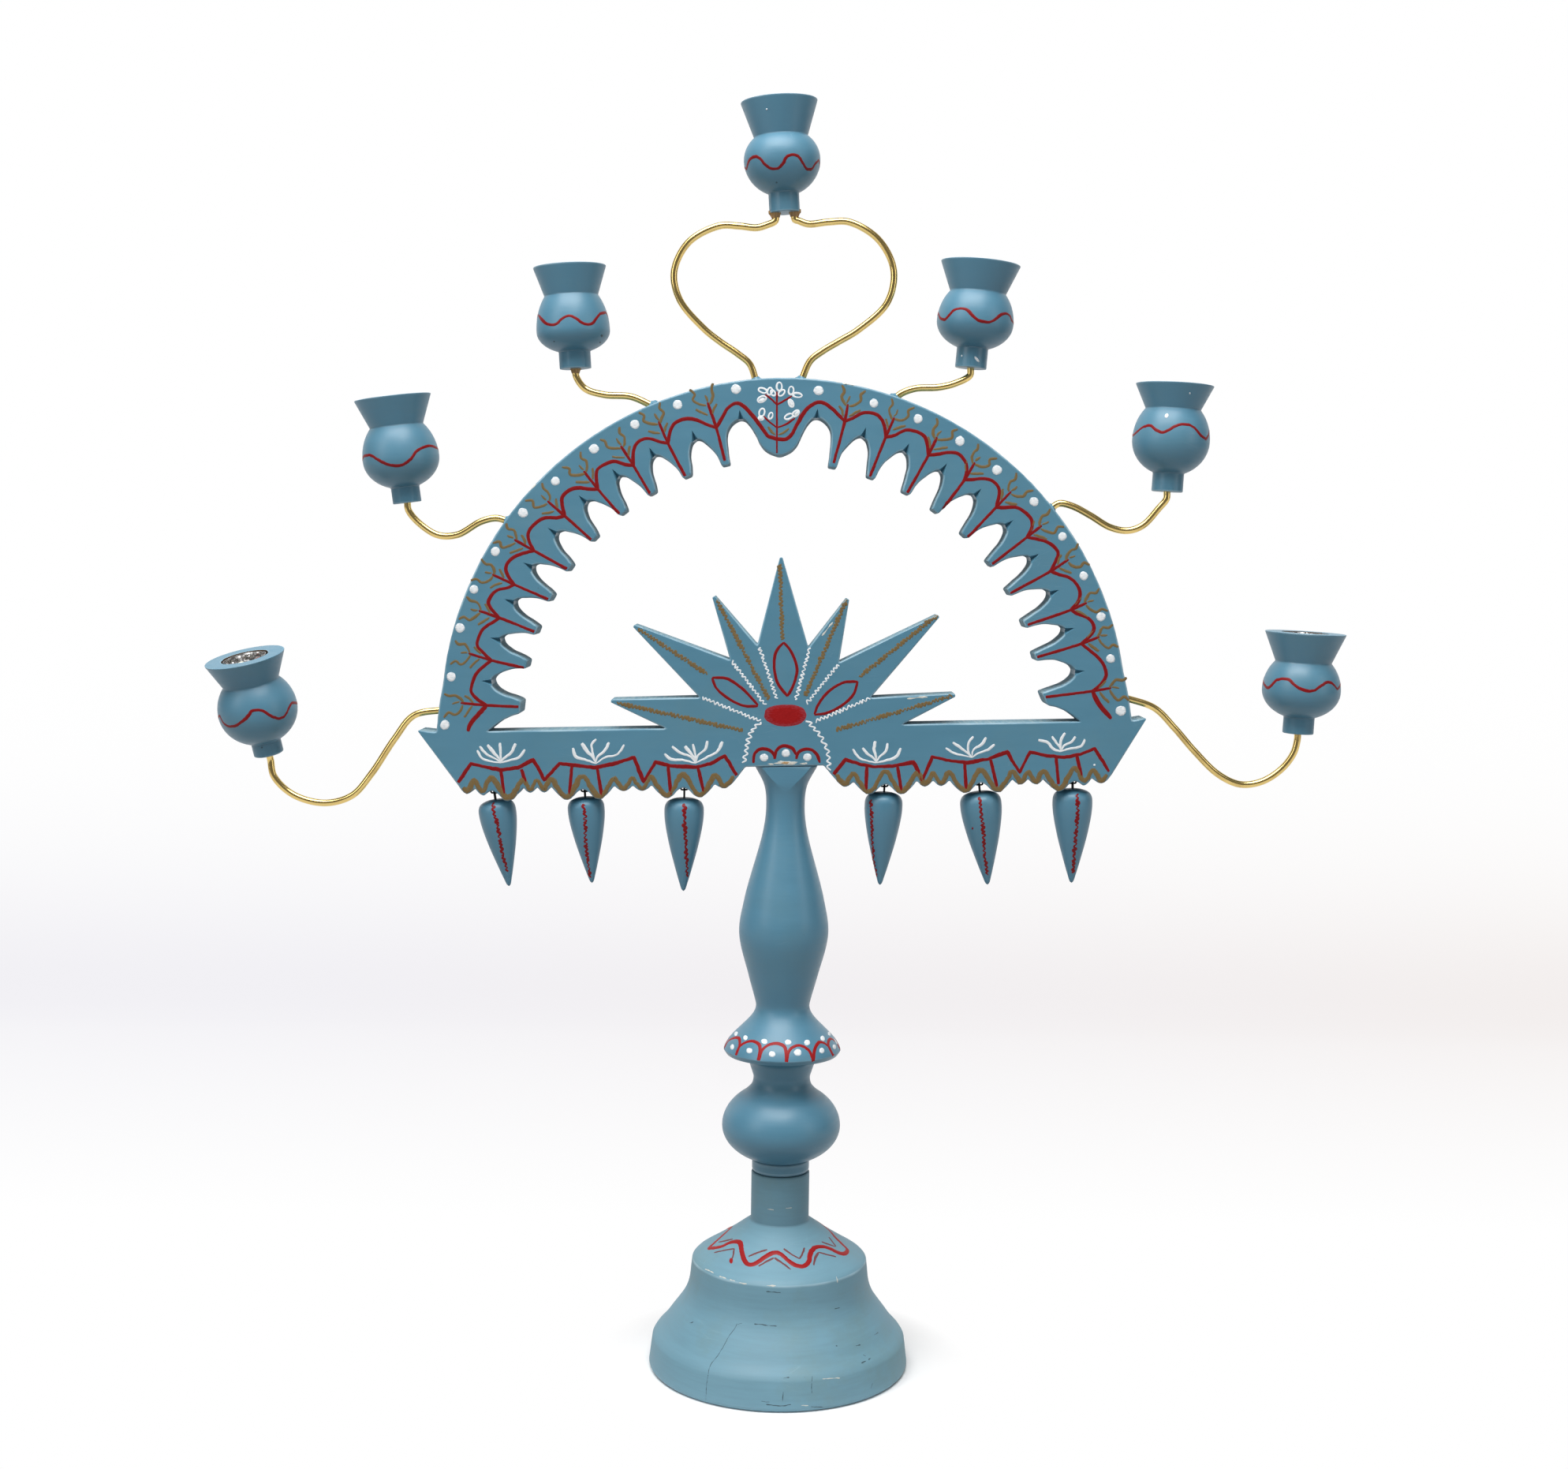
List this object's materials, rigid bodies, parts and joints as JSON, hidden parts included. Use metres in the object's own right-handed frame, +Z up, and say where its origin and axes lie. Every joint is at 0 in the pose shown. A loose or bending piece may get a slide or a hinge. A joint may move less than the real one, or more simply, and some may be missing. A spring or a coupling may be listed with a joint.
{
  "type": "candelabra",
  "caption": "Painted wooden candelabra: a turned foot and stem carry a sawn arch with a star, candle cups on bent brass wires and swinging wooden drops below.",
  "frame": {"origin": "centre of the foot's flat underside", "axes": "+X to the right and +Z up when facing the painted front, which looks along -Y"},
  "size_m": [0.49, 0.1144, 0.5496],
  "materials": {
    "painted_foot": "oil paint, satin, worn at the edges",
    "painted_ring": "oil paint, satin",
    "painted_stem": "oil paint, satin",
    "painted_board": "oil paint, satin, with painted folk ornament",
    "painted_cup": "oil paint, satin, worn at the rim",
    "painted_drop": "oil paint, satin",
    "brass_wire": "drawn, polished, a little tarnished",
    "hook_wire": "blackened",
    "bare_wood": "bare"
  },
  "bodies": {
    "base": {"base_foot": "painted_foot"},
    "ring": {"spacer_ring": "painted_ring"},
    "upper": {"stem": "painted_stem", "stem_dowel": "bare_wood", "arch_board": "painted_board", "wire_lower_left": "brass_wire", "wire_middle_left": "brass_wire", "wire_upper_left": "brass_wire", "wire_upper_right": "brass_wire", "wire_middle_right": "brass_wire", "wire_lower_right": "brass_wire", "wire_heart_left": "brass_wire", "wire_heart_right": "brass_wire", "cup_lower_left": "painted_cup", "cup_middle_left": "painted_cup", "cup_upper_left": "painted_cup", "cup_top": "painted_cup", "cup_upper_right": "painted_cup", "cup_middle_right": "painted_cup", "cup_lower_right": "painted_cup", "staple_1": "hook_wire", "staple_2": "hook_wire", "staple_3": "hook_wire", "staple_4": "hook_wire", "staple_5": "hook_wire", "staple_6": "hook_wire"},
    "drop_1": {"drop_1": "painted_drop", "eye_1": "hook_wire"},
    "drop_2": {"drop_2": "painted_drop", "eye_2": "hook_wire"},
    "drop_3": {"drop_3": "painted_drop", "eye_3": "hook_wire"},
    "drop_4": {"drop_4": "painted_drop", "eye_4": "hook_wire"},
    "drop_5": {"drop_5": "painted_drop", "eye_5": "hook_wire"},
    "drop_6": {"drop_6": "painted_drop", "eye_6": "hook_wire"}
  },
  "joints": [
    {"name": "post_turn", "type": "hinge", "parent": "base", "child": "ring", "pos_m": [0, 0, 0.087], "axis": [0, 0, 1], "continuous": true},
    {"name": "stem_lift_off", "type": "slide", "parent": "ring", "child": "upper", "axis": [0, 0, 1], "range_m": [0, 0.03]},
    {"name": "drop_1_swing", "type": "hinge", "parent": "upper", "child": "drop_1", "pos_m": [-0.12662, 0, 0.25284], "axis": [0.9995, 0, 0.0305], "range_deg": [-15, 15]},
    {"name": "drop_2_swing", "type": "hinge", "parent": "upper", "child": "drop_2", "pos_m": [-0.08734, 0, 0.25405], "axis": [0.9995, 0, 0.0305], "range_deg": [-15, 15]},
    {"name": "drop_3_swing", "type": "hinge", "parent": "upper", "child": "drop_3", "pos_m": [-0.04406, 0, 0.25537], "axis": [0.9995, 0, 0.0305], "range_deg": [-15, 15]},
    {"name": "drop_4_swing", "type": "hinge", "parent": "upper", "child": "drop_4", "pos_m": [0.0429, 0, 0.25802], "axis": [0.9995, 0, 0.0305], "range_deg": [-15, 15]},
    {"name": "drop_5_swing", "type": "hinge", "parent": "upper", "child": "drop_5", "pos_m": [0.08408, 0, 0.25928], "axis": [0.9995, 0, 0.0305], "range_deg": [-15, 15]},
    {"name": "drop_6_swing", "type": "hinge", "parent": "upper", "child": "drop_6", "pos_m": [0.12466, 0, 0.26052], "axis": [0.9995, 0, 0.0305], "range_deg": [-15, 15]}
  ]
}
